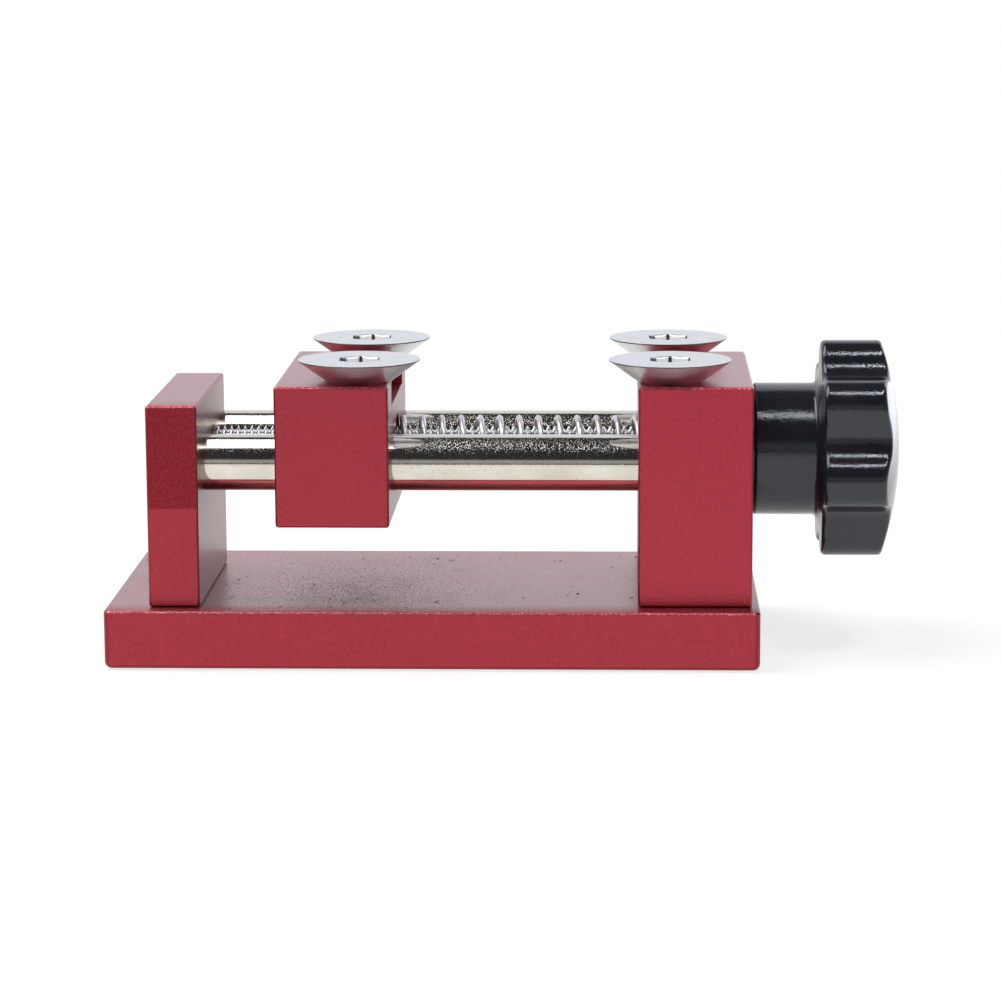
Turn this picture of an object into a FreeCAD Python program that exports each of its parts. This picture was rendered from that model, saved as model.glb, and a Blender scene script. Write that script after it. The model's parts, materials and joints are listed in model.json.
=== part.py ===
import FreeCAD
import Part
import math
import os

from FreeCAD import Vector

# Bench vise that opens watch cases, in millimetres.
# The origin is the centre of the base plate's underside.
# X runs along the screw towards the knob, Y towards the back, Z up.

# Base plate
base_length = 115.0
base_depth = 56.0
base_thickness = 10.4
base_corner_radius = 1.4
base_bottom_round = 1.2
edge_break = 0.35
block_corner_radius = 0.6
jaw_underside_round = 0.55

# Blocks that stand on the base or hang on the rods
post_thickness = 9.0
post_depth = 41.5
post_height = 35.8
post_end_gap = 7.7
post_front_lead = 1.1
jaw_length = 20.0
jaw_depth = 47.0
fixed_jaw_height = 39.0
fixed_jaw_end_gap = 1.35
moving_jaw_height = 24.95
jaw_opening = 43.55

# Relief in the top of each jaw's inner face, where the watch lies
relief_length = 29.0
relief_depth = 2.3
relief_height = 4.7

# Guide rods
rod_dia = 10.0
rod_spacing = 28.0
rod_axis_above_base = 24.2
rod_socket_depth = 14.0
rod_spigot_dia = 5.0
rod_spigot_length = 7.0
rod_end_chamfer = 0.6

# Lead screw, its nut and its bushes
screw_axis_above_base = 24.5
thread_dia = 8.0
thread_pitch = 1.25
thread_start_gap = 0.5
thread_past_jaw = 1.0
thread_sweep_turns = 4
groove_dia = 6.0
groove_length = 1.5
tail_length = 7.0
tail_chamfer = 0.5
tail_bush_outer_dia = 9.0
tail_bush_length = 7.6
screw_bush_outer_dia = 10.0
nut_outer_dia = 13.0
nut_length = 11.5
nut_lip_thickness = 2.0

# Return spring
spring_wire_dia = 1.0
spring_outer_dia = 12.0
spring_turns = 13.75
spring_start_angle = 47.0
spring_bend_radius = 1.2
spring_pocket_dia = 12.5
moving_pocket_depth = 5.0
fixed_pocket_depth = 4.0
spring_least_gap = 0.4

# Cone holders that grip the watch
holder_rim_dia = 21.5
holder_foot_dia = 11.6
holder_height = 3.8
holder_rim_land = 0.2
holder_spacing = 30.0
holder_inset = 5.6
holder_shank_dia = 5.0
holder_hex_across_flats = 7.0
holder_hex_depth = 2.9
holder_hex_lead_in = 0.2
holder_hex_turn = 30.0

# Knob, its insert, set screw and washer
washer_thickness = 0.6
washer_dia = 16.0
hub_dia = 23.8
hub_length = 12.1
hub_chamfer = 0.5
hub_flare_length = 1.35
hub_flare_rise = 3.6
head_dia = 39.4
head_thickness = 10.75
head_dome_height = 3.45
head_edge_round = 0.9
lobe_count = 7
lobe_radius = 5.0
flute_radius = 5.0
insert_dia = 12.0
insert_length = 16.0
insert_groove_depth = 0.8
insert_groove_length = 3.0
insert_floor = 1.5
set_screw_dia = 4.0
set_screw_from_hub_end = 6.0
set_screw_sink = 0.6
set_screw_hex_across_flats = 2.0
set_screw_hex_depth = 2.0

# Cap screws from below that hold the post and the fixed jaw
cap_screw_dia = 5.0
cap_screw_length = 16.0
cap_head_dia = 8.5
cap_head_height = 5.0
cap_hex_across_flats = 4.0
cap_hex_depth = 2.5
cap_head_sink = 0.5
cap_screw_spacing = 28.0
cap_hole_dia = 5.5
tapped_hole_extra = 2.0

# Named clearances, each measured on the radius or between two faces
running_clearance = 0.05
press_clearance = 0.01
thread_clearance = 0.15
nut_lip_clearance = 0.5
shank_rod_gap = 0.8
screw_hole_clearance = 0.02
head_clearance = 0.5
face_gap = 0.3

# Places worked out from the sizes above
base_left = -base_length / 2
base_right = base_length / 2
post_left = base_left + post_end_gap
post_right = post_left + post_thickness
post_front = -jaw_depth / 2 - post_front_lead
post_middle_y = post_front + post_depth / 2
fixed_right = base_right - fixed_jaw_end_gap
fixed_left = fixed_right - jaw_length
moving_right = fixed_left - jaw_opening
moving_left = moving_right - jaw_length
axis_z = base_thickness + screw_axis_above_base
rod_z = base_thickness + rod_axis_above_base
jaw_top = base_thickness + fixed_jaw_height
nut_lip_hole_dia = thread_dia + 2 * nut_lip_clearance
holder_shank_length = jaw_top - rod_z - rod_dia / 2 - shank_rod_gap
moving_floor = moving_right - moving_pocket_depth
fixed_floor = fixed_left + fixed_pocket_depth
nut_right = moving_floor - nut_lip_thickness
nut_left = nut_right - nut_length
hub_left = fixed_right + washer_thickness
head_left = hub_left + hub_length
head_right = head_left + head_thickness
thread_left = post_right + thread_start_gap
thread_turns = math.ceil((fixed_left + thread_past_jaw - thread_left) / thread_pitch)
thread_right = thread_left + thread_turns * thread_pitch
groove_right = thread_right + groove_length
screw_right = hub_left + insert_length - insert_floor - face_gap

X_AXIS = Vector(1, 0, 0)
Y_AXIS = Vector(0, 1, 0)
Z_AXIS = Vector(0, 0, 1)


def save(shape, node):
    """Write one node as a STEP file."""
    if not shape.isValid():
        raise ValueError(node + " is not a valid shape")
    shape.exportStep("parts/" + node + ".step")


def rod_along_x(dia, x0, x1):
    """Round bar on the screw's line from x0 to x1."""
    return Part.makeCylinder(dia / 2, x1 - x0, Vector(x0, 0, axis_z), X_AXIS)


def guide_bar(dia, x0, x1, side):
    """Round bar on a guide rod's line from x0 to x1."""
    start = Vector(x0, side * rod_spacing / 2, rod_z)
    return Part.makeCylinder(dia / 2, x1 - x0, start, X_AXIS)


def rod_along_z(dia, x, y, z0, z1):
    """Upright round bar from z0 to z1."""
    return Part.makeCylinder(dia / 2, z1 - z0, Vector(x, y, z0), Z_AXIS)


def turned(points, z=axis_z):
    """Body turned about the screw's line from (x, radius) points."""
    outline = [Vector(x, 0, z + radius) for x, radius in points]
    face = Part.Face(Part.makePolygon(outline + outline[:1]))
    return face.revolve(Vector(0, 0, z), X_AXIS, 360)


def hexagon_prism(across_flats, depth, turn=0.0):
    """Upright hexagonal prism standing on the origin."""
    radius = across_flats / math.sqrt(3)
    corners = []
    for step in range(6):
        angle = math.radians(60 * step + turn)
        corners.append(Vector(radius * math.cos(angle), radius * math.sin(angle), 0))
    face = Part.Face(Part.makePolygon(corners + corners[:1]))
    return face.extrude(Vector(0, 0, depth))


def block(length, depth, height, left, front, bottom):
    """Rectangular block with rounded upright edges and a broken top edge."""
    body = Part.makeBox(length, depth, height, Vector(left, front, bottom))
    upright = [e for e in body.Edges if e.BoundBox.ZLength > height / 2]
    body = body.makeFillet(block_corner_radius, upright)
    high = [e for e in body.Edges if e.BoundBox.ZMin > bottom + height - edge_break]
    return body.makeChamfer(edge_break, high)


def low_edges(body):
    """Edges round the underside of a block."""
    bottom = body.BoundBox.ZMin
    return [e for e in body.Edges if e.BoundBox.ZMax < bottom + edge_break]


def make_base_plate():
    body = Part.makeBox(
        base_length, base_depth, base_thickness, Vector(base_left, -base_depth / 2, 0)
    )
    upright = [e for e in body.Edges if e.BoundBox.ZLength > base_thickness / 2]
    body = body.makeFillet(base_corner_radius, upright)
    low = [e for e in body.Edges if e.BoundBox.ZMax < edge_break]
    body = body.makeFillet(base_bottom_round, low)
    high = [e for e in body.Edges if e.BoundBox.ZMin > base_thickness - edge_break]
    body = body.makeChamfer(edge_break, high)
    for x, y in post_screw_places() + jaw_screw_places():
        body = body.cut(rod_along_z(cap_hole_dia, x, y, 0, base_thickness))
        sink = rod_along_z(cap_head_dia + 2 * head_clearance, x, y, 0, cap_seat_z())
        body = body.cut(sink)
    return body


def cap_seat_z():
    """Height of the face that a cap screw's head bears on."""
    return cap_head_sink + cap_head_height


def post_screw_places():
    x = (post_left + post_right) / 2
    return [(x, post_middle_y + side * cap_screw_spacing / 2) for side in (-1, 1)]


def jaw_screw_places():
    x = (fixed_left + fixed_right) / 2
    return [(x, side * cap_screw_spacing / 2) for side in (-1, 1)]


def cut_tapped_holes(body, places):
    """Cut the holes from below that the cap screws thread into."""
    dia = cap_screw_dia + 2 * screw_hole_clearance
    top = cap_seat_z() + cap_screw_length + tapped_hole_extra
    for x, y in places:
        body = body.cut(rod_along_z(dia, x, y, base_thickness, top))
    return body


def cap_screw(x, y):
    """Socket cap screw that points up through the base."""
    seat = cap_seat_z()
    head = rod_along_z(cap_head_dia, x, y, cap_head_sink, seat)
    shank = rod_along_z(cap_screw_dia, x, y, seat, seat + cap_screw_length)
    socket = hexagon_prism(cap_hex_across_flats, cap_hex_depth)
    socket.translate(Vector(x, y, cap_head_sink))
    return head.fuse(shank).cut(socket)


def make_end_post():
    body = block(
        post_thickness, post_depth, post_height, post_left, post_front, base_thickness
    )
    body = body.makeChamfer(edge_break, low_edges(body))
    bore = rod_spigot_dia + 2 * press_clearance
    for side in (-1, 1):
        x0 = post_right - rod_spigot_length - face_gap
        body = body.cut(guide_bar(bore, x0, post_right, side))
    seat = tail_bush_outer_dia + 2 * press_clearance
    body = body.cut(rod_along_x(seat, post_right - tail_bush_length, post_right))
    return cut_tapped_holes(body, post_screw_places())


def make_tail_bush():
    x0 = post_right - tail_bush_length
    bush = rod_along_x(tail_bush_outer_dia, x0, post_right)
    bore = groove_dia + 2 * running_clearance
    return bush.cut(rod_along_x(bore, x0, post_right))


def cut_relief(body, face_x, inward):
    """Cut the shallow relief into the top of a jaw's inner face."""
    low_x = min(face_x, face_x + inward * relief_depth)
    pocket = Part.makeBox(
        relief_depth,
        relief_length,
        relief_height,
        Vector(low_x, -relief_length / 2, jaw_top - relief_height),
    )
    return body.cut(pocket)


def cut_holder_holes(body, x):
    dia = holder_shank_dia + 2 * screw_hole_clearance
    bottom = jaw_top - holder_shank_length - face_gap
    for side in (-1, 1):
        y = side * holder_spacing / 2
        body = body.cut(rod_along_z(dia, x, y, bottom, jaw_top))
    return body


def make_fixed_jaw():
    front = -jaw_depth / 2
    body = block(jaw_length, jaw_depth, fixed_jaw_height, fixed_left, front, base_thickness)
    body = body.makeChamfer(edge_break, low_edges(body))
    body = cut_relief(body, fixed_left, 1)
    body = cut_holder_holes(body, fixed_left + holder_inset)
    socket = rod_dia + 2 * press_clearance
    for side in (-1, 1):
        body = body.cut(guide_bar(socket, fixed_left, fixed_left + rod_socket_depth, side))
    body = body.cut(rod_along_x(spring_pocket_dia, fixed_left, fixed_floor))
    seat = screw_bush_outer_dia + 2 * press_clearance
    body = body.cut(rod_along_x(seat, fixed_floor, fixed_right))
    return cut_tapped_holes(body, jaw_screw_places())


def make_screw_bush():
    bush = rod_along_x(screw_bush_outer_dia, fixed_floor, fixed_right)
    bore = thread_dia + 2 * running_clearance
    return bush.cut(rod_along_x(bore, fixed_floor, fixed_right))


def make_moving_jaw():
    front = -jaw_depth / 2
    bottom = jaw_top - moving_jaw_height
    body = block(jaw_length, jaw_depth, moving_jaw_height, moving_left, front, bottom)
    body = body.makeFillet(jaw_underside_round, low_edges(body))
    body = cut_relief(body, moving_right, -1)
    body = cut_holder_holes(body, moving_right - holder_inset)
    bore = rod_dia + 2 * running_clearance
    for side in (-1, 1):
        body = body.cut(guide_bar(bore, moving_left, moving_right, side))
    body = body.cut(rod_along_x(spring_pocket_dia, moving_floor, moving_right))
    body = body.cut(rod_along_x(nut_lip_hole_dia, nut_right, moving_floor))
    seat = nut_outer_dia + 2 * press_clearance
    return body.cut(rod_along_x(seat, moving_left, nut_right))


def make_guide_rod(side):
    """Rod whose shoulder butts on the post and whose other end sits in the fixed jaw."""
    tip = post_right - rod_spigot_length
    end = fixed_left + rod_socket_depth - face_gap
    thin = rod_spigot_dia / 2
    full = rod_dia / 2
    points = [
        (tip, 0),
        (tip, thin - rod_end_chamfer),
        (tip + rod_end_chamfer, thin),
        (post_right, thin),
        (post_right, full),
        (end - rod_end_chamfer, full),
        (end, full - rod_end_chamfer),
        (end, 0),
    ]
    rod = turned(points, rod_z)
    rod.translate(Vector(0, side * rod_spacing / 2, 0))
    return rod


def thread_section(x, crest_radius, root_radius, crest_share, root_share):
    """Section square to the axis of a single thread, a closed cam-like curve."""

    def point(turn, radius):
        angle = 2 * math.pi * turn
        return Vector(x, radius * math.cos(angle), radius * math.sin(angle))

    def arc(start, end, radius):
        middle = (start + end) / 2
        ends = point(start, radius), point(middle, radius), point(end, radius)
        return Part.Arc(*ends).toShape()

    def flank(start, end, start_radius, end_radius):
        steps = 8
        points = []
        for step in range(steps + 1):
            share = step / steps
            turn = start + (end - start) * share
            points.append(point(turn, start_radius + (end_radius - start_radius) * share))
        curve = Part.BSplineCurve()
        curve.interpolate(points)
        return curve.toShape()

    flank_share = (1 - crest_share - root_share) / 2
    crest_end = crest_share / 2
    root_start = crest_end + flank_share
    root_end = root_start + root_share
    return Part.Wire([
        arc(-crest_end, crest_end, crest_radius),
        flank(crest_end, root_start, crest_radius, root_radius),
        arc(root_start, root_end, root_radius),
        flank(root_end, 1 - crest_end, root_radius, crest_radius),
    ])


def thread_form(x, turns):
    """Threaded bar on the X axis: its section turned once for each pitch of length."""
    crest_radius = thread_dia / 2
    root_radius = crest_radius - 0.6134 * thread_pitch
    section = thread_section(x, crest_radius, root_radius, 1 / 8, 1 / 4)
    length = turns * thread_pitch
    spine = Part.Wire([Part.makeLine(Vector(x, 0, 0), Vector(x + length, 0, 0))])
    guide = Part.makeLongHelix(thread_pitch, length, thread_dia)
    guide.rotate(Vector(0, 0, 0), Y_AXIS, 90)
    guide.translate(Vector(x, 0, 0))
    shell = Part.BRepOffsetAPI.MakePipeShell(spine)
    shell.setAuxiliarySpine(guide, False, 0)
    shell.add(section)
    shell.build()
    shell.makeSolid()
    return shell.shape()


def make_lead_screw():
    """Threaded length of the screw, swept a few turns at a time and sewn up."""
    end = thread_left + thread_turns * thread_pitch
    faces = []
    done = 0
    while done < thread_turns:
        turns = min(thread_sweep_turns, thread_turns - done)
        for face in thread_form(thread_left + done * thread_pitch, turns).Faces:
            box = face.BoundBox
            side = box.XLength > thread_pitch / 2
            outer = min(abs(box.XMin - thread_left), abs(box.XMin - end)) < 1e-3
            if side or outer:
                faces.append(face)
        done += turns
    skin = Part.Compound(faces)
    skin.sewShape(1e-4)
    solid = Part.Solid(Part.Shell(skin.Faces))
    if solid.Volume < 0:
        solid.reverse()
    solid.translate(Vector(0, 0, axis_z))
    return solid


def make_screw_tail():
    """Plain thin end of the screw that runs in the post's bush."""
    x0 = post_right - tail_length
    thin = groove_dia / 2
    return turned([
        (x0, 0),
        (x0, thin - tail_chamfer),
        (x0 + tail_chamfer, thin),
        (thread_left, thin),
        (thread_left, 0),
    ])


def make_screw_journal():
    """Plain end of the screw: a groove, the journal in the fixed jaw, the knob's seat."""
    thin = groove_dia / 2
    full = thread_dia / 2
    return turned([
        (thread_right, 0),
        (thread_right, thin),
        (groove_right, thin),
        (groove_right, full),
        (screw_right - tail_chamfer, full),
        (screw_right, full - tail_chamfer),
        (screw_right, 0),
    ])


def make_jaw_nut():
    """Nut of the moving jaw, with a plain bore just wider than the screw."""
    nut = rod_along_x(nut_outer_dia, nut_left, nut_right)
    bore = thread_dia + 2 * thread_clearance
    return nut.cut(rod_along_x(bore, nut_left, nut_right))


def biarc(p0, t0, p1, t1):
    """Two arcs that leave p0 along t0 and arrive at p1 along t1."""
    chord = p1 - p0
    both = t0 + t1
    a = 2 * (1 - t0.dot(t1))
    b = chord.dot(both)
    reach = (math.sqrt(b * b + a * chord.dot(chord)) - b) / a
    joint = (p0 + p1 + (t0 - t1) * reach) * 0.5
    first = tangent_arc(p0, t0, joint)
    second = tangent_arc(p1, -t1, joint)
    return [first, Part.Arc(joint, second.value(middle_of(second)), p1)]


def middle_of(curve):
    return (curve.FirstParameter + curve.LastParameter) / 2


def tangent_arc(start, tangent, end):
    """Arc from start, along tangent there, to end."""
    chord = end - start
    along = Vector(chord)
    along.normalize()
    aside = tangent - along * tangent.dot(along)
    aside.normalize()
    angle = math.acos(max(-1.0, min(1.0, tangent.dot(along))))
    rise = chord.Length / 2 * math.tan(angle / 2)
    return Part.Arc(start, (start + end) * 0.5 + aside * rise, end)


def spring_path():
    """Spine of the spring: straight end, bend, coils in quarter turns, bend, straight end."""
    radius = (spring_outer_dia - spring_wire_dia) / 2
    straight = spring_wire_dia
    coil_start = moving_floor + straight + spring_bend_radius
    coil_end = fixed_floor - straight - spring_bend_radius
    pitch = (coil_end - coil_start) / spring_turns
    slope = pitch / (2 * math.pi * radius)
    quarter = math.pi / 2
    count = round(4 * spring_turns)

    def place(step):
        angle = math.radians(spring_start_angle) + quarter * step
        x = coil_start + pitch * step / 4
        here = Vector(x, radius * math.cos(angle), axis_z + radius * math.sin(angle))
        way = Vector(slope, -math.sin(angle), math.cos(angle))
        way.normalize()
        return here, way

    def end_bend(here, way, outward):
        """Middle and outer end of the bend from the coil's end to a run along X."""
        aside = way - X_AXIS * way.x
        aside.normalize()

        def inside(turn):
            return (X_AXIS * math.sin(turn) - aside * math.cos(turn)) * outward

        angle = math.acos(way.x)
        centre = here + inside(angle) * spring_bend_radius
        middle = centre - inside(angle / 2) * spring_bend_radius
        return middle, centre - inside(0) * spring_bend_radius

    edges = []
    here, way = place(0)
    middle, tip = end_bend(here, way, -1)
    edges.append(Part.LineSegment(Vector(moving_floor, tip.y, tip.z), tip))
    edges.append(Part.Arc(tip, middle, here))
    for step in range(count):
        p0, t0 = place(step)
        p1, t1 = place(step + 1)
        edges += biarc(p0, t0, p1, t1)
    here, way = place(count)
    middle, tip = end_bend(here, way, 1)
    edges.append(Part.Arc(here, middle, tip))
    edges.append(Part.LineSegment(tip, Vector(fixed_floor, tip.y, tip.z)))
    return edges, pitch


def least_self_gap(edges):
    """Least gap between stretches of the wire that are over half a turn apart."""
    points = []
    travelled = 0.0
    for edge in edges:
        shape = edge.toShape()
        steps = 6
        for step in range(steps):
            spot = shape.FirstParameter
            spot += (shape.LastParameter - shape.FirstParameter) * step / steps
            points.append((travelled + shape.Length * step / steps, shape.valueAt(spot)))
        travelled += shape.Length
    half_turn = math.pi * (spring_outer_dia - spring_wire_dia) / 2
    least = spring_outer_dia
    for i, (at_i, p_i) in enumerate(points):
        for at_j, p_j in points[i + 1:]:
            if at_j - at_i > half_turn:
                least = min(least, (p_j - p_i).Length)
    return least - spring_wire_dia


def make_return_spring():
    """Round wire swept along the spring's path as one tube."""
    edges, pitch = spring_path()
    path = Part.Wire([edge.toShape() for edge in edges])
    start = edges[0].value(edges[0].FirstParameter)
    ring = Part.Wire([Part.makeCircle(spring_wire_dia / 2, start, X_AXIS)])
    shell = Part.BRepOffsetAPI.MakePipeShell(path)
    shell.add(ring)
    shell.build()
    shell.makeSolid()
    spring = shell.shape()
    gap = least_self_gap(edges)
    print("spring pitch", round(pitch, 3), "least gap to itself", round(gap, 3))
    section = math.pi * spring_wire_dia ** 2 / 4
    print("spring volume over section times length", spring.Volume / (section * path.Length))
    if gap < spring_least_gap:
        raise ValueError("the spring's turns are too close")
    return spring


def make_holder(x, side):
    """Cone that stands on its foot, with a sharp rim, a hexagon socket and a shank below."""
    rim = holder_rim_dia / 2
    foot = holder_foot_dia / 2
    shank = holder_shank_dia / 2
    low = -holder_shank_length
    outline = [
        Vector(0, 0, low),
        Vector(shank - tail_chamfer, 0, low),
        Vector(shank, 0, low + tail_chamfer),
        Vector(shank, 0, 0),
        Vector(foot, 0, 0),
        Vector(rim, 0, holder_height - holder_rim_land),
        Vector(rim, 0, holder_height),
        Vector(0, 0, holder_height),
    ]
    face = Part.Face(Part.makePolygon(outline + outline[:1]))
    body = face.revolve(Vector(0, 0, 0), Z_AXIS, 360)
    socket = hexagon_prism(holder_hex_across_flats, holder_hex_depth, holder_hex_turn)
    socket.translate(Vector(0, 0, holder_height - holder_hex_depth))
    lead = Part.makeCone(
        holder_hex_across_flats / 2,
        holder_hex_across_flats / math.sqrt(3),
        holder_hex_lead_in,
        Vector(0, 0, holder_height - holder_hex_lead_in),
    )
    body = body.cut(socket).cut(lead)
    body.translate(Vector(x, side * holder_spacing / 2, jaw_top))
    return body


def lobe_outline(x):
    """Closed outline of the knob's head: round lobes joined by round flutes."""
    lobe_centre = head_dia / 2 - lobe_radius
    half = math.pi / lobe_count
    reach = lobe_radius + flute_radius
    turn = math.asin(lobe_centre * math.sin(half) / reach)
    meet = turn + half
    flute_centre = (lobe_centre + reach * math.cos(meet)) / math.cos(half)

    def spot(angle, radius, own_angle, own_radius):
        y = -radius * math.sin(angle) - own_radius * math.sin(own_angle)
        z = radius * math.cos(angle) + own_radius * math.cos(own_angle)
        return Vector(x, y, axis_z + z)

    edges = []
    for lobe in range(lobe_count):
        middle = 2 * half * lobe
        lobe_points = [
            spot(middle, lobe_centre, middle + bearing, lobe_radius)
            for bearing in (-meet, 0, meet)
        ]
        edges.append(Part.Arc(*lobe_points).toShape())
        valley = middle + half
        flute_points = [
            spot(valley, flute_centre, valley + math.pi + bearing, flute_radius)
            for bearing in (turn, 0, -turn)
        ]
        edges.append(Part.Arc(*flute_points).toShape())
    return Part.Wire(edges)


def knob_head():
    """Lobed head with a domed end and rounded edges."""
    reach = head_thickness + head_dome_height + face_gap
    head = Part.Face(lobe_outline(head_left)).extrude(Vector(reach, 0, 0))
    rim = head_dia / 2
    dome_radius = (rim ** 2 + head_dome_height ** 2) / (2 * head_dome_height)
    centre_x = head_right + head_dome_height - dome_radius
    centre = Vector(centre_x, 0, axis_z)
    dome = Part.makeSphere(dome_radius, centre)
    dome.rotate(centre, Z_AXIS, 180)
    head = head.common(dome)
    edges = []
    for edge in head.Edges:
        box = edge.BoundBox
        if box.XLength < head_dome_height:
            edges.append(edge)
    return head.makeFillet(head_edge_round, edges)


def hub_outline():
    """Half section of the hub, whose flare is a smooth curve into the head."""
    radius = hub_dia / 2
    reach = head_left + hub_flare_length
    wide = radius + hub_flare_rise

    def at(x, out):
        return Vector(x, 0, axis_z + out)

    flare = []
    for step in range(9):
        angle = math.pi / 2 * step / 8
        x = head_left - hub_flare_length * (1 - math.sin(angle))
        flare.append(at(x, radius + hub_flare_rise * (1 - math.cos(angle))))
    curve = Part.BSplineCurve()
    curve.interpolate(flare)
    before = Part.makePolygon([
        at(hub_left, 0),
        at(hub_left, radius - hub_chamfer),
        at(hub_left + hub_chamfer, radius),
        flare[0],
    ])
    after = Part.makePolygon([flare[-1], at(reach, wide), at(reach, 0), at(hub_left, 0)])
    return Part.Wire(before.Edges + [curve.toShape()] + after.Edges)


def make_knob():
    """Lobed head and round hub in one moulding, bored for the insert and the set screw."""
    hub = Part.Face(hub_outline()).revolve(Vector(0, 0, axis_z), X_AXIS, 360)
    knob = hub.fuse(knob_head()).removeSplitter()
    bore = insert_dia + 2 * press_clearance
    knob = knob.cut(rod_along_x(bore, hub_left, hub_left + insert_length))
    return knob.cut(set_screw_hole(hub_dia))


def set_screw_hole(outer_dia):
    """Hole for the set screw, from the journal down through a round of outer_dia."""
    dia = set_screw_dia + 2 * screw_hole_clearance
    x = hub_left + set_screw_from_hub_end
    return rod_along_z(dia, x, 0, axis_z - outer_dia, axis_z)


def make_knob_insert():
    """Metal insert moulded into the knob, grooved so that it can't pull out."""
    right = hub_left + insert_length
    insert = rod_along_x(insert_dia, hub_left, right)
    middle = (hub_left + set_screw_from_hub_end + set_screw_dia + right) / 2
    groove = rod_along_x(
        insert_dia, middle - insert_groove_length / 2, middle + insert_groove_length / 2
    )
    core = rod_along_x(insert_dia - 2 * insert_groove_depth, hub_left, right)
    insert = insert.cut(groove.cut(core))
    bore = thread_dia + 2 * press_clearance
    insert = insert.cut(rod_along_x(bore, hub_left, right - insert_floor))
    return insert.cut(set_screw_hole(insert_dia))


def make_knob_set_screw():
    """Set screw in the hub that presses on the journal."""
    x = hub_left + set_screw_from_hub_end
    top = axis_z - thread_dia / 2 - press_clearance
    bottom = axis_z - hub_dia / 2 + set_screw_sink
    screw = rod_along_z(set_screw_dia, x, 0, bottom, top)
    socket = hexagon_prism(set_screw_hex_across_flats, set_screw_hex_depth)
    socket.translate(Vector(x, 0, bottom))
    return screw.cut(socket)


def make_thrust_washer():
    washer = rod_along_x(washer_dia, fixed_right, hub_left)
    bore = thread_dia + 4 * running_clearance
    return washer.cut(rod_along_x(bore, fixed_right, hub_left))


def main():
    os.makedirs("parts", exist_ok=True)
    save(make_base_plate(), "base_plate")
    save(make_end_post(), "end_post")
    save(make_tail_bush(), "tail_bush")
    save(make_fixed_jaw(), "fixed_jaw")
    save(make_screw_bush(), "screw_bush")
    save(make_moving_jaw(), "moving_jaw")
    save(make_jaw_nut(), "jaw_nut")
    save(make_guide_rod(-1), "guide_rod_front")
    save(make_guide_rod(1), "guide_rod_rear")
    save(make_lead_screw(), "lead_screw")
    save(make_screw_tail(), "screw_tail")
    save(make_screw_journal(), "screw_journal")
    save(make_return_spring(), "return_spring")
    for jaw, x in (
        ("moving", moving_right - holder_inset),
        ("fixed", fixed_left + holder_inset),
    ):
        save(make_holder(x, -1), "holder_" + jaw + "_front")
        save(make_holder(x, 1), "holder_" + jaw + "_rear")
    save(make_knob(), "knob")
    save(make_knob_insert(), "knob_insert")
    save(make_knob_set_screw(), "knob_set_screw")
    save(make_thrust_washer(), "thrust_washer")
    save(Part.Compound([cap_screw(x, y) for x, y in post_screw_places()]), "post_screws")
    save(Part.Compound([cap_screw(x, y) for x, y in jaw_screw_places()]), "fixed_jaw_screws")


main()
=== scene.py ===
"""Looks of the watch case opener: materials, spring, floor, light and camera."""
import json
import math

import bmesh
import bpy
from mathutils import Matrix, Vector
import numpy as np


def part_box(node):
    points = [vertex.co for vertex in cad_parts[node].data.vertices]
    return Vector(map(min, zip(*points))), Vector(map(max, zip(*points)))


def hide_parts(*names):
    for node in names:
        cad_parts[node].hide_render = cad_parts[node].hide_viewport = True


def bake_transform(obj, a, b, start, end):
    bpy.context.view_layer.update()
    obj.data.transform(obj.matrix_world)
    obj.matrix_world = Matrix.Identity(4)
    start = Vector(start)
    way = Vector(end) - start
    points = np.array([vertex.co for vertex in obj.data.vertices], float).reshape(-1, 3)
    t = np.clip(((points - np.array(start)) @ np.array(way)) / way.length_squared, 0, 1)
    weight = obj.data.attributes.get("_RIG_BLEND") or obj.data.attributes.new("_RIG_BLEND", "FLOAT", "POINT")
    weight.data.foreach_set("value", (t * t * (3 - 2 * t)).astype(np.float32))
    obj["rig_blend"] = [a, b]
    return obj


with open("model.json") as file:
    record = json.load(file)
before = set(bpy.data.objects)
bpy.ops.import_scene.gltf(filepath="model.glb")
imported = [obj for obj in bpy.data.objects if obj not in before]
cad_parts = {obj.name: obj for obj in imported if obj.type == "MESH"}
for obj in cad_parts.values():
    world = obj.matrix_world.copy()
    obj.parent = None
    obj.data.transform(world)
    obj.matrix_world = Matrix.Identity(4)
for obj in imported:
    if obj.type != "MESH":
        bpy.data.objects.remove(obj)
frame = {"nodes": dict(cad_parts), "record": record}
nodes = frame["nodes"]
slot_of = {part["node"]: part["material_slot"] for part in frame["record"]["subparts"]}
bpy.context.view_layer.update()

MM = 0.001

# Camera, fitted to the photograph: place in metres, turns in degrees
IMAGE_WIDTH_PX = 1001
FOCAL_PX = 3342.1
CAMERA_PLACE = (0.03352, -0.59717, 0.13324)
CAMERA_YAW = -2.135
CAMERA_PITCH = 10.247
CAMERA_ROLL = -0.252

# Return spring
WIRE_DIA = 1.0 * MM
SPRING_OUTER_DIA = 12.0 * MM
SPRING_TURNS = 13.75
SPRING_START_ANGLE = 47.0
SPRING_BEND_RADIUS = 1.2 * MM
POCKET_DEPTH_MOVING = 5.0 * MM
POCKET_DEPTH_FIXED = 4.0 * MM
WIRE_SIDES = 20
STEPS_PER_TURN = 56

# Hexagon sockets of the cone holders
SOCKET_ACROSS_FLATS = 7.0 * MM

# Where wear, dirt, painted dark reflection and thinner sheen lie, in the millimetres that the materials use
POST_PAINTED_DARK_FROM = 28.0
FRONT_SHEEN_DEPTH = 10.0
SANDIEST_SPOT = (-15.0, -9.0, 10.4)
SAND_REACH = 60.0
ROD_USED_LENGTH = 60.0

# Floor, in metres
FLOOR_REACH = 40.0
FLOOR_DROP = 0.0002

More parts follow.
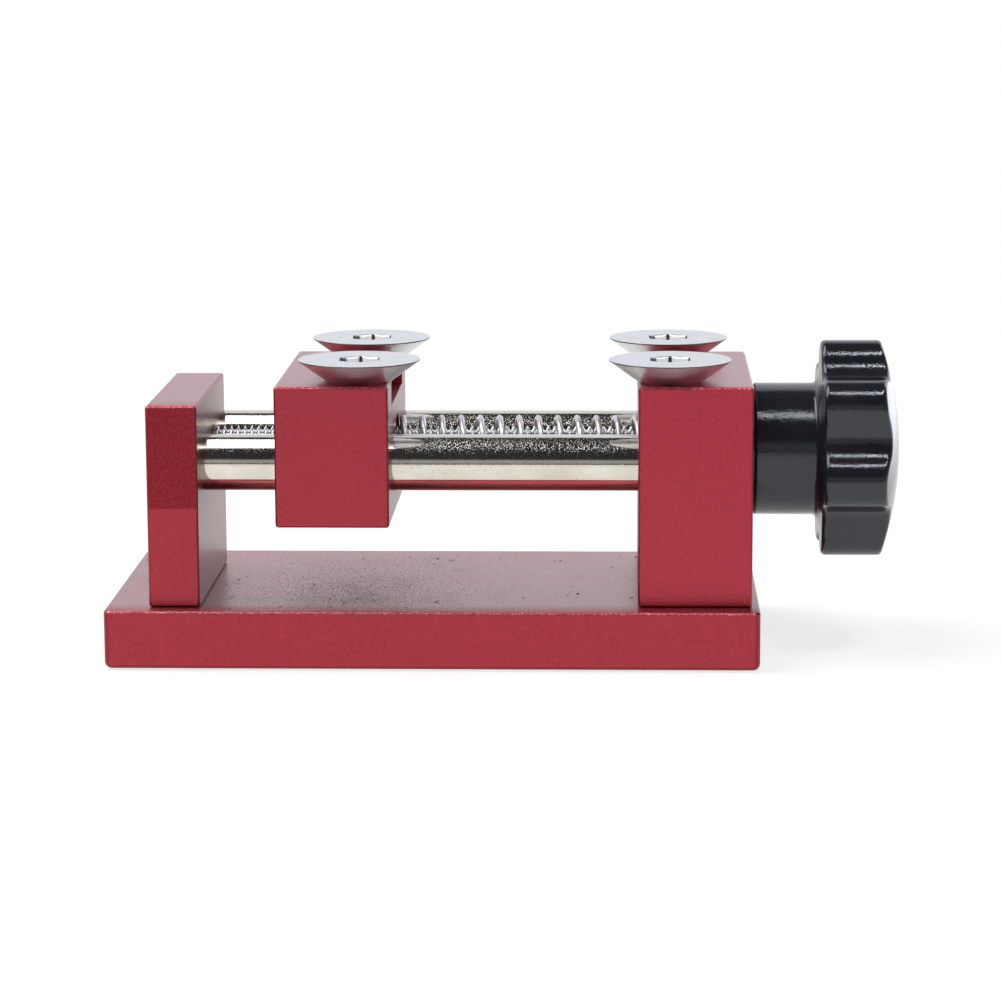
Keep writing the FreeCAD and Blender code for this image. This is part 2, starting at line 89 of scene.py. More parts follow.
# Studio: the room by degrees, from level in front of the object over the top to level behind it
ROOM_BANDS = ((0, 0.10), (3, 0.10), (7, 0.42), (17, 0.40), (21, 0.035), (70, 0.035), (108, 0.05),
              (130, 0.05), (134, (0.92, 0.94, 0.98)), (180, (0.90, 0.92, 0.96)))
ROOM_RIGHT = (0.30, 0.31, 0.35)
BRIGHT_BACK_RIGHT = (2.3, 2.35, 2.6)

# The two small lamps that only the holders take
HOLDERS_MIDDLE_X = 0.017
SOCKET_LAMP_ASIDE = 0.87


class Graph:
    """A material's or the world's nodes, with short calls to add and join them."""

    def __init__(self, tree):
        self.tree = tree
        tree.nodes.clear()

    def add(self, kind, inputs=None, **settings):
        made = self.tree.nodes.new("ShaderNode" + kind)
        for name, value in settings.items():
            setattr(made, name, value)
        for name, value in (inputs or {}).items():
            self.feed(made.inputs[name], value)
        return made

    def feed(self, socket, value):
        if isinstance(value, bpy.types.NodeSocket):
            self.tree.links.new(value, socket)
        elif isinstance(value, bpy.types.Node):
            self.tree.links.new(value.outputs[0], socket)
        else:
            socket.default_value = value

    def math(self, operation, a, b=0.0):
        made = self.add("Math", operation=operation)
        self.feed(made.inputs[0], a)
        self.feed(made.inputs[1], b)
        return made.outputs[0]

    def times(self, first, *others):
        """The product of two or more values."""
        for other in others:
            first = self.math("MULTIPLY", first, other)
        return first

    def less(self, value, share):
        """One less this share of a value."""
        return self.math("SUBTRACT", 1.0, self.math("MULTIPLY", value, share))

    def along(self, value, start, length):
        """How far a value has come along a length from its start, as a share."""
        return self.math("DIVIDE", self.math("SUBTRACT", value, start), length)

    def ramp(self, value, stops):
        """Colour ramp; each stop is (position, grey) or (position, (r, g, b))."""
        made = self.add("ValToRGB", {"Fac": value})
        elements = made.color_ramp.elements
        while len(elements) < len(stops):
            elements.new(0.5)
        for element, (position, colour) in zip(elements, stops):
            element.position = position
            if not isinstance(colour, tuple):
                colour = (colour, colour, colour)
            element.color = (*colour, 1.0)
        return made.outputs[0]

    def mix(self, factor, a, b):
        made = self.add("Mix", data_type="RGBA")
        self.feed(made.inputs[0], factor)
        for socket, value in ((made.inputs[6], a), (made.inputs[7], b)):
            if isinstance(value, tuple) and len(value) == 3:
                value = (*value, 1.0)
            self.feed(socket, value)
        return made.outputs[2]

    def blend_shaders(self, factor, a, b):
        made = self.add("MixShader", {"Fac": factor})
        self.feed(made.inputs[1], a)
        self.feed(made.inputs[2], b)
        return made

    def place(self, scale=(1.0, 1.0, 1.0), turn=(0.0, 0.0, 0.0)):
        """Object coordinates in millimetres, then scaled and turned."""
        spot = self.add("TexCoord").outputs["Object"]
        made = self.add("Mapping", {"Vector": spot})
        made.inputs["Scale"].default_value = [1000.0 * s for s in scale]
        made.inputs["Rotation"].default_value = [math.radians(a) for a in turn]
        return made.outputs[0]

    def split(self, vector):
        """A vector's X, Y and Z, by letter."""
        return self.add("SeparateXYZ", {"Vector": vector}).outputs

    def facing(self):
        """The X, Y and Z of the way that the surface faces."""
        return self.split(self.add("NewGeometry").outputs["Normal"])

    def noise(self, spot, scale, detail=2.0, roughness=0.5, distortion=0.0):
        made = self.add("TexNoise", {"Vector": spot, "Scale": scale, "Detail": detail,
                                     "Roughness": roughness, "Distortion": distortion})
        return made.outputs[0]

    def bump(self, height, distance, normal=None):
        """Bump of a height that runs from 0 to 1 over this distance in metres."""
        made = self.add("Bump", {"Height": height, "Distance": distance, "Strength": 1.0})
        if normal is not None:
            self.feed(made.inputs["Normal"], normal)
        return made.outputs[0]

    def soft_edges(self, radius):
        return self.add("Bevel", {"Radius": radius}, samples=6).outputs[0]

    def principled(self, **inputs):
        """The shader; socket names are written with _ for a space."""
        made = self.add("BsdfPrincipled")
        for name, value in inputs.items():
            socket = made.inputs[name.replace("_", " ")]
            if isinstance(value, tuple) and len(value) == 3:
                value = (*value, 1.0)
            self.feed(socket, value)
        return made

    def finish(self, shader, output="OutputMaterial"):
        end = self.add(output)
        self.feed(end.inputs["Surface"], shader)


def new_material(name):
    made = bpy.data.materials.new(name)
    made.use_nodes = True
    return made, Graph(made.node_tree)


def shade(colour, share):
    """A darker colour of the same hue."""
    return tuple(share * part for part in colour)


def front_of(name):
    """Y of a CAD piece's front, in the materials' millimetres."""
    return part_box(name)[0].y / MM


def edge_shade_and_wear(g, facing):
    """Edges of a square block: how far this is one, for the painted shade along edges, and broken marks on
    the upper edges, where the film is knocked off and a painted highlight lies.
    """
    sides = [g.math("ABSOLUTE", facing[axis]) for axis in "XYZ"]
    square = g.math("MAXIMUM", g.math("MAXIMUM", sides[0], sides[1]), sides[2])
    edge = g.ramp(square, [(0.88, 1.0), (0.97, 0.0)])
    broken = g.ramp(g.noise(g.place(), 3.2, 3.0, 0.7), [(0.50, 0.0), (0.66, 1.0)])
    above = g.ramp(facing["Z"], [(0.25, 0.15), (0.5, 1.0)])
    return edge, g.times(edge, above, broken)


def red_anodised(name, base=(0.51, 0.012, 0.037), flank=(0.13, 0.035, 0.04), front_sheen_drop=None,
                 dusty=False, painted_dark_from=None, coat_ior=1.5):
    """Satin anodised aluminium with a fine blasted grain, a few bright specks of painted glint, painted
    shade on the sides and edges, and pale upper-edge marks of wear and painted highlight.
    """
    material, g = new_material(name)
    spot = g.place()
    facing = g.facing()
    grain = g.noise(spot, 4.5, 3.0, 0.7)
    blotch = g.noise(spot, 1.7, 3.0, 0.65)
    cloud = g.noise(spot, 0.09, 3.0, 0.55)
    colour = g.mix(g.ramp(grain, [(0.3, 0.0), (0.7, 1.0)]), shade(base, 0.74), base)
    colour = g.mix(g.ramp(blotch, [(0.35, 0.55), (0.62, 0.0)]), colour, shade(base, 0.55))
    colour = g.mix(g.ramp(cloud, [(0.35, 0.0), (0.65, 0.4)]), colour, shade(base, 0.84))
    # Painted glints: a few pale specks on the grain.
    speck = g.ramp(g.noise(spot, 2.9, 1.0, 0.3), [(0.77, 0.0), (0.80, 0.25)])
    edge, wear_and_highlight = edge_shade_and_wear(g, facing)
    # Painted shade: edges darker.
    colour = g.mix(g.times(edge, 0.5), colour, shade(base, 0.35))
    # Pale pink: the glint specks, and broken marks on the upper edges that are wear and a painted highlight.
    colour = g.mix(g.math("MAXIMUM", speck, g.times(wear_and_highlight, 0.6)), colour, (0.80, 0.36, 0.40))
    film = g.ramp(blotch, [(0.3, 0.86), (0.7, 1.0)])
    # Painted shade: faces that look along X take the darker flank colour and a thinner film.
    side = g.ramp(g.math("ABSOLUTE", facing["X"]), [(0.85, 0.0), (0.97, 1.0)])
    film = g.times(film, g.less(edge, 0.5), g.less(side, 0.22))
    colour = g.mix(g.times(side, 0.55), colour, flank)
    metal = 1.0
    if dusty:
        film = g.times(film, g.ramp(facing["Z"], [(0.5, 0.49), (0.9, 1.0)]))
    # Painted change of sheen: thinner film and less metal along the front of a top.
    if front_sheen_drop is not None:
        film, metal = thinner_front_sheen(g, spot, facing, film, *front_sheen_drop)
    # Painted dark reflection on the upper part of the front.
    if painted_dark_from is not None:
        colour, film = painted_dark_reflection(g, spot, facing, colour, film, painted_dark_from)
    rough = g.ramp(grain, [(0.2, 0.34), (0.8, 0.46)])
    rough = g.math("ADD", rough, g.times(side, 0.12))
    normal = g.bump(grain, 0.016 * MM, g.soft_edges(0.20 * MM))
    shown = g.principled(Base_Color=colour, Metallic=metal, Roughness=rough, Normal=normal,
                         Specular_Tint=(0.75, 1.0, 1.0), Coat_Weight=film,
                         Coat_Roughness=0.30, Coat_IOR=coat_ior)
    if dusty:
        shown = dusty_top(g, facing, shown)
    g.finish(shown)
    return material


def thinner_front_sheen(g, spot, facing, film, front, amount):
    """Painted change of sheen: the film and the metal are turned down along the front of a top, so the red
    shows more, standing in for the changed reflection where the top rolls off towards its front edge.
    """
    flat = g.ramp(facing["Z"], [(0.5, 0.0), (0.9, 1.0)])
    edge = g.ramp(g.along(g.split(spot)["Y"], front, FRONT_SHEEN_DEPTH), [(0.05, 1.0), (0.6, 0.0)])
    film_drop = g.times(edge, flat, amount)
    return g.times(film, g.math("SUBTRACT", 1.0, film_drop)), g.less(film_drop, 0.7)


def dusty_top(g, facing, metal):
    """Dry dirt on the base's top: sandy left of the middle, with pale grit and dark crumbs."""
    flat = g.ramp(facing["Z"], [(0.5, 0.0), (0.9, 1.0)])
    away = g.add("VectorMath", {0: g.place((1.0, 0.8, 1.0)), 1: SANDIEST_SPOT}, operation="DISTANCE")
    near = g.math("DIVIDE", away.outputs["Value"], SAND_REACH)
    near = g.ramp(near, [(0.10, 1.0), (0.50, 0.35), (1.0, 0.2)])
    long_grain = g.place((1.0, 0.42, 1.0))
    sand = g.ramp(g.noise(long_grain, 2.6, 2.0, 0.7), [(0.48, 0.0), (0.62, 1.0)])
    stain = g.noise(g.place((1.0, 0.7, 1.0)), 0.14, 4.0, 0.7, 0.6)
    stain = g.ramp(stain, [(0.50, 0.0), (0.70, 1.0)])
    crumbs = g.ramp(g.noise(long_grain, 1.0, 1.0, 0.4), [(0.745, 0.0), (0.765, 1.0)])
    dirt = g.math("MAXIMUM", g.times(sand, 0.80), g.times(stain, 0.52))
    dirt = g.math("MAXIMUM", g.times(dirt, near), g.times(crumbs, 0.9))
    grit = g.noise(g.place((1.0, 0.45, 1.0), (0.0, 0.0, 40.0)), 3.0, 2.0, 0.6)
    tone = g.mix(g.ramp(grit, [(0.45, 0.0), (0.60, 1.0)]), (0.04, 0.03, 0.027), (0.46, 0.42, 0.38))
    tone = g.mix(crumbs, tone, (0.03, 0.018, 0.018))
    dull = g.principled(Base_Color=tone, Roughness=0.8, Specular_IOR_Level=0.25)
    return g.blend_shaders(g.times(dirt, flat), metal, dull)


def painted_dark_reflection(g, spot, facing, colour, film, height):
    """Painted dark reflection: a front face's upper part is darker above this height, standing in for the
    dark room that it reflects, and coarser with pores.
    """
    above = g.math("SUBTRACT", g.split(spot)["Z"], height - 0.5)
    above = g.ramp(above, [(0.45, 0.0), (0.6, 1.0)])
    front = g.ramp(g.times(facing["Y"], -1.0), [(0.8, 0.0), (0.95, 1.0)])
    pores = g.ramp(g.noise(spot, 2.4, 3.0, 0.75), [(0.38, 0.45), (0.60, 1.0)])
    dark = g.times(above, front, pores)
    film = g.times(film, g.less(dark, 0.68))
    return g.mix(g.times(dark, 0.7), colour, (0.17, 0.003, 0.010)), film


def nickel_plate():
    """Bright warm plating: faint drawing lines, dull flecks on top of the used length, dark pits."""
    material, g = new_material("nickel_plate")
    spot = g.place()
    where = g.split(spot)
    mottle = g.noise(g.place((0.5, 1.0, 1.0)), 0.20, 3.0, 0.6, 0.3)
    drawn = g.noise(g.place((0.03, 1.0, 1.0)), 2.6, 2.0, 0.6)
    fine = g.noise(spot, 5.4, 1.0, 0.5)
    jaw_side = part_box("moving_jaw")[0].x / MM
    used = g.ramp(g.along(where["X"], jaw_side, ROD_USED_LENGTH),
                  [(0.0, 0.010), (0.33, 0.062), (0.60, 0.032), (1.0, 0.028)])
    low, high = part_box("guide_rod_front")
    middle = (low.z + high.z) / (2 * MM)
    upper = g.ramp(g.along(where["Z"], middle - 1.5, 4.0), [(0.0, 0.0), (1.0, 1.0)])
    lift = g.times(used, g.ramp(mottle, [(0.36, 0.55), (0.62, 1.0)]))
    fleck = g.ramp(g.math("ADD", fine, lift), [(0.63, 0.0), (0.70, 1.0)])
    fleck = g.times(fleck, upper)
    pits = g.ramp(g.noise(spot, 2.4, 2.0, 0.6), [(0.64, 0.0), (0.71, 0.7)])
    pits = g.times(pits, g.ramp(used, [(0.0, 0.0), (0.08, 1.0)]))
    colour = g.mix(g.ramp(mottle, [(0.3, 0.0), (0.7, 1.0)]), (0.61, 0.575, 0.51), (0.76, 0.72, 0.66))
    colour = g.mix(fleck, colour, (0.53, 0.55, 0.59))
    colour = g.mix(pits, colour, (0.14, 0.12, 0.10))
    rough = g.mix(fleck, g.ramp(mottle, [(0.25, 0.05), (0.75, 0.09)]), (0.32, 0.32, 0.32))
    normal = g.bump(fleck, 0.004 * MM, g.bump(drawn, 0.0015 * MM))
    g.finish(g.principled(Base_Color=colour, Metallic=1.0, Roughness=rough, Normal=normal))
    return material


def turned_metal(name, light, dark, roughness):
    """Bar turned round X: fine rings and slight stains."""
    material, g = new_material(name)
    rings = g.noise(g.place((1.0, 0.02, 0.02)), 9.0, 3.0, 0.7)
    stain = g.noise(g.place(), 0.35, 4.0, 0.6)
    colour = g.mix(g.ramp(stain, [(0.3, 0.0), (0.72, 1.0)]), light, dark)
    rough = g.ramp(stain, [(0.25, roughness), (0.75, roughness * 1.6)])
    normal = g.bump(rings, 0.004 * MM, g.soft_edges(0.12 * MM))
    g.finish(g.principled(Base_Color=colour, Metallic=1.0, Roughness=rough, Normal=normal))
    return material


def polished_cone():
    """Steel holder: turned flank with fine rings, satin top, socket walls painted pale as if lit, with
    painted shade in their corners and at the left and far right.
    """
    material, g = new_material("polished_steel")
    upward = g.facing()["Z"]
    top = g.ramp(upward, [(0.90, 0.0), (0.96, 1.0)])
    wall = g.ramp(g.math("ABSOLUTE", upward), [(0.06, 1.0), (0.12, 0.0)])
    stain = g.noise(g.place(), 0.5, 4.0, 0.6)
    fine = g.noise(g.place(), 6.0, 3.0, 0.7)
    rings = g.noise(g.place((0.03, 0.03, 1.0)), 9.0, 2.0, 0.6)
    steel = g.mix(g.ramp(stain, [(0.3, 0.0), (0.7, 1.0)]), (0.72, 0.73, 0.75), (0.80, 0.81, 0.825))
    face = g.mix(g.ramp(stain, [(0.3, 0.0), (0.7, 1.0)]), (0.66, 0.67, 0.695), (0.75, 0.755, 0.775))
    colour = g.mix(top, steel, face)
    # Painted light and shade: the socket walls are pale and less metallic, and dark in their corners and at
    # the left and far right.
    inside = g.mix(socket_painted_shade(g), (0.93, 0.93, 0.94), (0.035, 0.035, 0.04))
    colour = g.mix(wall, colour, inside)
    rough = g.mix(top, g.ramp(stain, [(0.2, 0.38), (0.8, 0.48)]), g.ramp(fine, [(0.2, 0.24), (0.8, 0.38)]))
    rough = g.mix(wall, rough, (0.32, 0.32, 0.32))
    corners = g.mix(wall, g.soft_edges(0.1 * MM), g.soft_edges(0.35 * MM))
    normal = g.bump(fine, 0.004 * MM, corners)
    normal = g.bump(g.times(rings, g.math("SUBTRACT", 1.0, top)), 0.006 * MM, normal)
    g.finish(g.principled(Base_Color=colour, Metallic=g.less(wall, 0.6), Roughness=rough, Normal=normal))
    return material


def socket_painted_shade(g):
    """Painted shade: runs to 1 in the corners of each hexagon socket, and on its walls at the left and far
    right.

    Distances from the socket's middle are shares of its width across flats.
    """
    where = g.split(g.place())
    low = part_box("holder_moving_front")
    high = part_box("holder_fixed_rear")
    away = []
    for axis in "XY":
        first, second = [getattr(ends[0] + ends[1], axis.lower()) / (2 * MM) for ends in (low, high)]
        beyond = g.math("GREATER_THAN", where[axis], (first + second) / 2)
        centre = g.math("ADD", first, g.times(beyond, second - first))
        away.append(g.along(where[axis], centre, SOCKET_ACROSS_FLATS / MM))
    squares = [g.times(step, step) for step in away]
    reach = g.math("SQRT", g.math("ADD", *squares))
    corner = g.ramp(reach, [(0.543, 0.0), (0.562, 1.0)])
    left = g.ramp(g.times(away[0], -1.0), [(0.31, 0.0), (0.37, 0.92)])
    right = g.ramp(away[0], [(0.44, 0.0), (0.47, 0.9)])
    return g.math("MAXIMUM", corner, g.math("MAXIMUM", left, right))


def spring_wire():
    """Bright drawn wire with fine die lines and a few dull spots."""
    material, g = new_material("spring_steel")
    fine = g.noise(g.place(), 5.0, 3.0, 0.6)
    stain = g.noise(g.place(), 0.9, 3.0, 0.6)
    colour = g.mix(g.ramp(stain, [(0.35, 0.0), (0.7, 1.0)]), (0.70, 0.72, 0.725), (0.52, 0.535, 0.54))
    rough = g.ramp(stain, [(0.3, 0.28), (0.75, 0.44)])
    normal = g.bump(fine, 0.004 * MM)
    g.finish(g.principled(Base_Color=colour, Metallic=0.72, Roughness=rough, Normal=normal))
    return material


def black_phenolic():
    """Glossy black moulding: slight waviness, faint scuffs and dust in the gloss."""
    material, g = new_material("black_phenolic")
    wave = g.noise(g.place(), 0.12, 2.0, 0.5)
    peel = g.noise(g.place(), 1.7, 3.0, 0.65)
    dust = g.noise(g.place(), 3.4, 2.0, 0.5)
    scuff = g.noise(g.place((1.0, 0.25, 0.25)), 1.1, 5.0, 0.7)
    colour = g.mix(g.ramp(wave, [(0.3, 0.0), (0.7, 1.0)]), (0.013, 0.014, 0.018), (0.020, 0.021, 0.027))
    colour = g.mix(g.ramp(dust, [(0.74, 0.0), (0.8, 0.5)]), colour, (0.25, 0.25, 0.26))
    inner = g.ramp(g.times(g.facing()["X"], -1.0), [(0.3, 0.0), (0.7, 0.12)])
    rough = g.math("ADD", g.ramp(scuff, [(0.3, 0.07), (0.8, 0.18)]), inner)
    grit = g.noise(g.place(), 3.6, 1.0, 0.5)
    pebble = g.math("ADD", peel, g.times(grit, 2.1))
    height = g.math("ADD", g.times(wave, 6.0), pebble)
    normal = g.bump(height, 0.012 * MM, g.soft_edges(0.25 * MM))
    g.finish(g.principled(Base_Color=colour, Roughness=rough, Normal=normal, IOR=1.62,
                          Specular_Tint=(0.86, 0.91, 1.0)))
    return material


def black_steel():
    """Black oxide screws: dull, with brighter worn spots."""
    material, g = new_material("black_steel")
    fine = g.noise(g.place(), 3.0, 4.0, 0.7)
    colour = g.mix(g.ramp(fine, [(0.45, 0.0), (0.75, 1.0)]), (0.03, 0.03, 0.033), (0.10, 0.10, 0.105))
    rough = g.ramp(fine, [(0.3, 0.28), (0.8, 0.5)])
    normal = g.bump(fine, 0.006 * MM, g.soft_edges(0.15 * MM))
    g.finish(g.principled(Base_Color=colour, Metallic=0.9, Roughness=rough, Normal=normal))
    return material


def dress(materials):
    """Gives every CAD node its own material, or else that of its slot."""
    for name, piece in nodes.items():
        material = materials.get(name) or materials[slot_of[name]]
        piece.data.materials.clear()
        piece.data.materials.append(material)


def spring_line():
    """Middle line of the spring's wire: straight end, bend, helix, bend, straight end."""
    moving_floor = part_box("moving_jaw")[1].x - POCKET_DEPTH_MOVING
    fixed_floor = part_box("fixed_jaw")[0].x + POCKET_DEPTH_FIXED
    low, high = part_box("lead_screw")
    middle = Vector((0.0, (low.y + high.y) / 2, (low.z + high.z) / 2))
    radius = (SPRING_OUTER_DIA - WIRE_DIA) / 2
    lead_in = WIRE_DIA + SPRING_BEND_RADIUS
    coil_start = moving_floor + lead_in
    coil_end = fixed_floor - lead_in
    pitch = (coil_end - coil_start) / SPRING_TURNS
    slope = pitch / (2 * math.pi * radius)

    def place(turns):
        angle = math.radians(SPRING_START_ANGLE) + 2 * math.pi * turns
        aside = (radius * math.cos(angle), radius * math.sin(angle))
        here = middle + Vector((coil_start + pitch * turns, *aside))
        way = Vector((slope, -math.sin(angle), math.cos(angle))).normalized()
        return here, way

    def bend(here, way, outward, steps=10):
        """Points from the coil's end to the straight run along X."""
        aside = Vector((0.0, way.y, way.z)).normalized()

        def inside(turn):
            return (Vector((math.sin(turn), 0.0, 0.0)) - aside * math.cos(turn)) * outward

        full = math.acos(way.x)
        centre = here + inside(full) * SPRING_BEND_RADIUS
        return [centre - inside(full * (1 - i / steps)) * SPRING_BEND_RADIUS for i in range(1, steps + 1)]

    first = bend(*place(0.0), -1)
    last = bend(*place(SPRING_TURNS), 1)
    count = round(SPRING_TURNS * STEPS_PER_TURN)
    coil = [place(SPRING_TURNS * i / count)[0] for i in range(count + 1)]
    start = Vector((moving_floor, first[-1].y, first[-1].z))
    end = Vector((fixed_floor, last[-1].y, last[-1].z))
    return [start] + first[::-1] + coil + last + [end]


def tube(name, line, diameter, sides):
    """Round tube along a line, closed at both ends; rings lie square to the line."""
    mesh = bpy.data.meshes.new(name)
    made = bmesh.new()
    rings = []
    side = Vector((0.0, 0.0, 1.0))
    for i, point in enumerate(line):
        before = line[max(i - 1, 0)]
        after = line[min(i + 1, len(line) - 1)]
        way = (after - before).normalized()
        side = (side - way * side.dot(way)).normalized()
        other = way.cross(side)
        ring = []
        for k in range(sides):
            turn = 2 * math.pi * k / sides
            outward = side * math.cos(turn) + other * math.sin(turn)
            ring.append(made.verts.new(point + outward * diameter / 2))
        rings.append(ring)
    for ring, following in zip(rings, rings[1:]):
        for k in range(sides):
            n = (k + 1) % sides
            made.faces.new((ring[k], ring[n], following[n], following[k]))
    made.faces.new(rings[0][::-1])
    made.faces.new(rings[-1])
    for face in made.faces:
        face.smooth = len(face.verts) == 4
    made.to_mesh(mesh)
    made.free()
    piece = bpy.data.objects.new(name, mesh)
    bpy.context.scene.collection.objects.link(piece)
    return piece


def make_spring(material):
    """Spring wire between the jaws; it stretches and closes with the moving jaw."""
    line = spring_line()
    spring = tube("spring_coil", line, WIRE_DIA, WIRE_SIDES)
    spring.data.materials.append(material)
    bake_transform(spring, "stand", "carriage", start=line[-1], end=(line[0].x, line[-1].y, line[-1].z))
    # Each ring gets one share, by its distance along the wire, so the wire stays round
    length = [0.0]
    for a, b in zip(line, line[1:]):
        length.append(length[-1] + (b - a).length)
    share = spring.data.attributes["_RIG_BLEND"].data
    for i, so_far in enumerate(length):
        for k in range(WIRE_SIDES):
            share[i * WIRE_SIDES + k].value = 1.0 - so_far / length[-1]
    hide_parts("return_spring")


def make_floor():
    """Pale floor. The camera sees it near white with the object's shadow, and plain white far off.

    Reflections see it slightly warm, and brighter than white at the back right.
    """
    mesh = bpy.data.meshes.new("floor")
    made = bmesh.new()
    corners = [(-FLOOR_REACH, -FLOOR_REACH), (FLOOR_REACH, -FLOOR_REACH),
               (FLOOR_REACH, FLOOR_REACH), (-FLOOR_REACH, FLOOR_REACH)]
    made.faces.new([made.verts.new((x, y, -FLOOR_DROP)) for x, y in corners])
    made.to_mesh(mesh)
    made.free()
    floor = bpy.data.objects.new("floor", mesh)
    bpy.context.scene.collection.objects.link(floor)
    material, g = new_material("pale_floor")
    spot = g.place()
    where = g.split(spot)
    path = g.add("LightPath").outputs
    paper = g.mix(g.noise(spot, 0.8, 3.0, 0.6), (0.80, 0.79, 0.77), (0.84, 0.83, 0.81))
    lit = g.add("BsdfDiffuse", {"Color": paper})
    dim = g.add("BsdfDiffuse", {"Color": (0.32, 0.32, 0.32, 1.0)})
    seen = g.math("MAXIMUM", path["Is Camera Ray"], path["Is Glossy Ray"])
    seen = g.math("MAXIMUM", seen, path["Is Transmission Ray"])
    colour = g.mix(path["Is Camera Ray"], (1.0, 0.985, 0.95), (1.0, 1.0, 1.0))
    to_right = g.ramp(g.math("DIVIDE", where["X"], 400.0), [(0.38, 0.0), (0.5, 1.0)])
    to_back = g.ramp(g.math("DIVIDE", where["Y"], 100.0), [(0.0, 0.0), (0.4, 1.0)])
    not_camera = g.math("SUBTRACT", 1.0, path["Is Camera Ray"])
    colour = g.mix(g.times(to_right, to_back, not_camera), colour, BRIGHT_BACK_RIGHT)
    near = g.add("AddShader")
    g.feed(near.inputs[0], dim)
    g.feed(near.inputs[1], g.add("Emission", {"Color": colour, "Strength": 0.75}))
    white = g.add("Emission", {"Color": colour, "Strength": 1.0})
    away = g.add("VectorMath", {0: spot}, operation="LENGTH").outputs["Value"]
    far = g.ramp(g.math("DIVIDE", away, 1000.0), [(0.22, 0.0), (0.42, 1.0)])
    g.finish(g.blend_shaders(seen, lit, g.blend_shaders(far, near, white)))
    floor.data.materials.append(material)


def make_world():
    """The camera sees plain white. All else sees a room that is pale behind and dark in front.

    Part of the room at the back right is brighter than white.
    """
    world = bpy.data.worlds.new("studio")
    bpy.context.scene.world = world
    world.use_nodes = True
    g = Graph(world.node_tree)
    way = g.split(g.add("TexCoord").outputs["Generated"])
    angle = g.math("ARCTAN2", way["Z"], g.times(way["Y"], -1.0))
    half_turn = g.math("DIVIDE", angle, math.pi)
    room = g.ramp(half_turn, [(degrees / 180, colour) for degrees, colour in ROOM_BANDS])
    room = g.mix(g.ramp(way["X"], [(0.72, 0.0), (0.86, 1.0)]), room, ROOM_RIGHT)
    to_right = g.ramp(way["X"], [(0.40, 0.0), (0.52, 1.0), (0.74, 1.0), (0.80, 0.0)])
    to_back = g.ramp(way["Y"], [(0.35, 0.0), (0.5, 1.0)])
    room = g.mix(g.times(to_right, to_back), room, BRIGHT_BACK_RIGHT)
    lit = g.add("Background", {"Color": room, "Strength": 1.0})
    seen = g.add("Background", {"Color": (1.0, 1.0, 1.0, 1.0), "Strength": 1.0})
    camera_ray = g.add("LightPath").outputs["Is Camera Ray"]
    g.finish(g.blend_shaders(camera_ray, lit, seen), "OutputWorld")


def area_light(name, place, aim, size, power):
    """Soft box of this size in metres that faces aim; power is in watts."""
    light = bpy.data.lights.new(name, "AREA")
    light.shape = "RECTANGLE"
    light.size, light.size_y = size
    light.energy = power
    holder = bpy.data.objects.new(name, light)
    holder.location = place
    holder.rotation_euler = (Vector(aim) - Vector(place)).to_track_quat("-Z", "Y").to_euler()
    bpy.context.scene.collection.objects.link(holder)


def light_only(light_name, pieces):
    """Lets this light reach only these pieces."""
    group = bpy.data.collections.new(light_name)
    for piece in pieces:
        group.objects.link(piece)
    bpy.data.objects[light_name].light_linking.receiver_collection = group


def make_lights():
    """A large soft box above the left, a strip above the right, two small lamps for the holders only."""
    area_light("overhead", place=(-0.75, 0.0, 1.03), aim=(-0.75, 0.0, 0.03), size=(1.3, 0.80), power=14.0)
    area_light("strip", place=(0.30, -0.277, 1.03), aim=(0.06, 0.0, 0.03), size=(0.44, 0.11), power=2.9)
    holders = [piece for name, piece in nodes.items() if slot_of[name] == "polished_steel"]
    for name, side in (("socket_left", -1.0), ("socket_right", 1.0)):
        place = (HOLDERS_MIDDLE_X + side * SOCKET_LAMP_ASIDE, -0.48, 0.40)
        area_light(name, place, aim=(HOLDERS_MIDDLE_X, 0.0, 0.05), size=(0.5, 0.25), power=6.0)
        light_only(name, holders)


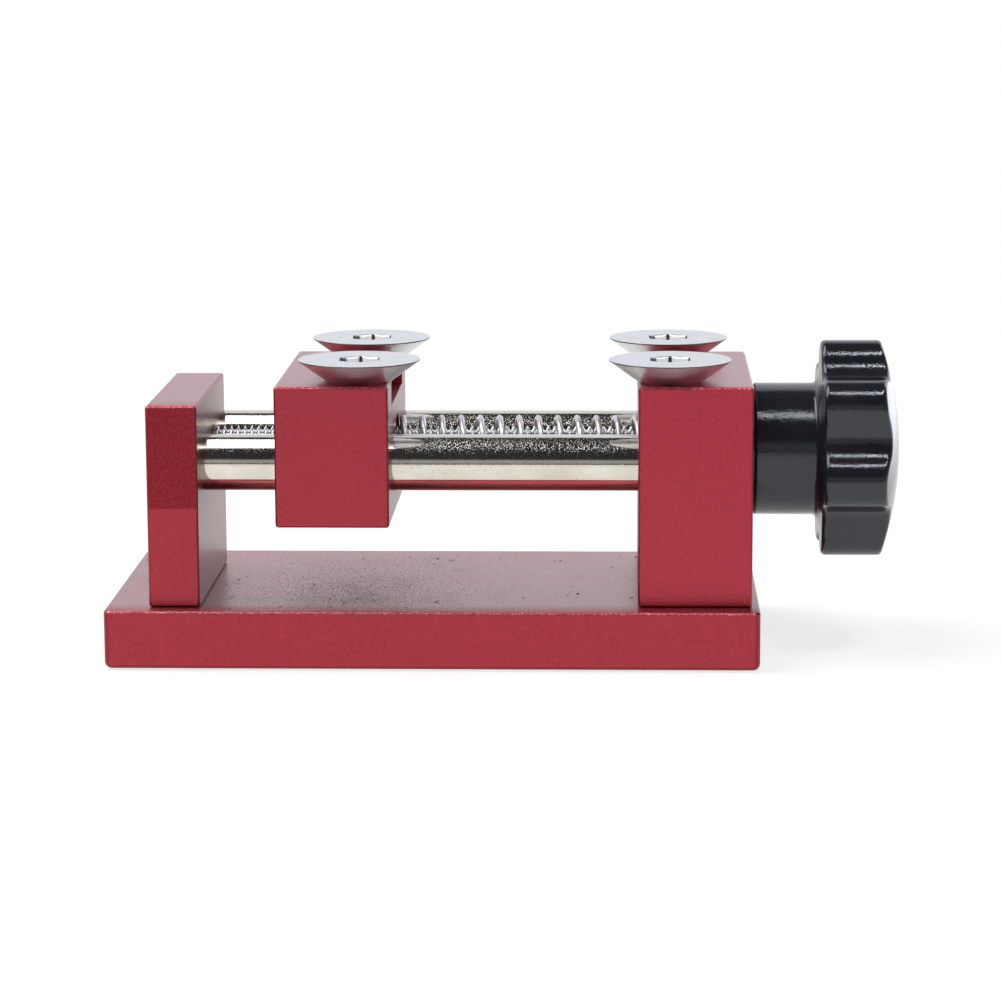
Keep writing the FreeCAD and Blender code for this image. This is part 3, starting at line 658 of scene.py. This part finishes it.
def make_camera():
    data = bpy.data.cameras.new("camera")
    data.sensor_width = 36.0
    data.lens = FOCAL_PX / IMAGE_WIDTH_PX * data.sensor_width
    data.clip_start = 0.01
    data.clip_end = 100.0
    yaw, pitch, roll = (math.radians(a) for a in (CAMERA_YAW, CAMERA_PITCH, CAMERA_ROLL))
    ahead = Vector((math.sin(yaw) * math.cos(pitch), math.cos(yaw) * math.cos(pitch), -math.sin(pitch)))
    right = Vector((math.cos(yaw), -math.sin(yaw), 0.0))
    up = right.cross(ahead)
    tilted_right = right * math.cos(roll) + up * math.sin(roll)
    tilted_up = up * math.cos(roll) - right * math.sin(roll)
    turn = Matrix((tilted_right, tilted_up, -ahead)).transposed()
    camera = bpy.data.objects.new("camera", data)
    camera.matrix_world = Matrix.Translation(CAMERA_PLACE) @ turn.to_4x4()
    bpy.context.scene.collection.objects.link(camera)
    bpy.context.scene.camera = camera


def write_sizes():
    bpy.context.view_layer.update()


bpy.context.scene.view_settings.view_transform = "Standard"
# By slot, or by node where one piece looks different from the rest of its slot
materials = {
    # This slot's sides take a darker painted shade than the other blocks'.
    "red_anodised": red_anodised("red_anodised", flank=(0.05, 0.004, 0.008)),
    "base_plate": red_anodised("red_base", front_sheen_drop=(front_of("base_plate"), 0.95), dusty=True, coat_ior=1.8),
    # Painted shade: the bush gets dark bronze colours, for the dark of the post's hole around it.
    "tail_bush": turned_metal("bronze_painted_dark", (0.30, 0.21, 0.13), (0.20, 0.14, 0.09), 0.45),
    "end_post": red_anodised("red_post", front_sheen_drop=(front_of("end_post"), 0.55), painted_dark_from=POST_PAINTED_DARK_FROM),
    # Painted light: the fixed jaw's red is a brighter, pinker lit copy of the blocks' red.
    "fixed_jaw": red_anodised("red_fixed_jaw_lit", base=(0.55, 0.012, 0.042)),
    "nickel_plate": nickel_plate(),
    "zinc_plate": turned_metal("zinc_plate", (0.84, 0.85, 0.87), (0.70, 0.71, 0.73), 0.12),
    "brass": turned_metal("brass", (0.80, 0.60, 0.26), (0.62, 0.44, 0.18), 0.2),
    "polished_steel": polished_cone(),
    "spring_steel": spring_wire(),
    "black_phenolic": black_phenolic(),
    "black_steel": black_steel(),
}
dress(materials)
make_spring(materials["spring_steel"])
make_floor()
make_world()
make_lights()
make_camera()
write_sizes()
